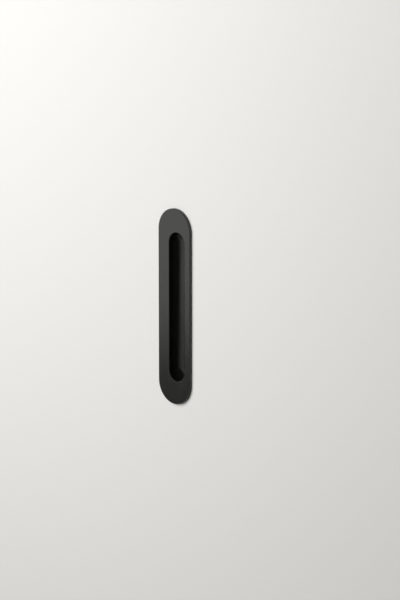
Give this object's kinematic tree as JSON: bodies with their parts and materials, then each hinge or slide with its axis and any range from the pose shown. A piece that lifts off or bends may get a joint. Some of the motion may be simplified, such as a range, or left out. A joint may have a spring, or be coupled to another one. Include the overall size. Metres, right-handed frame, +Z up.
{
  "type": "pocket door pull",
  "caption": "Oblong flush pull for a sliding door: flat plate with round ends and a closed finger recess set off centre.",
  "frame": {"origin": "centre of the oblong plate, in the plane of the plate's back, which is the plane of the door's face", "axes": "+Z up the door along the pull's length, -Y out of the door towards the hand, +X towards the door's closing edge, the side the recess is set to"},
  "size_m": [0.0452, 0.0145, 0.2],
  "materials": {
    "black_coat": "satin"
  },
  "bodies": {
    "root": {"pull_body": "black_coat"}
  },
  "joints": []
}
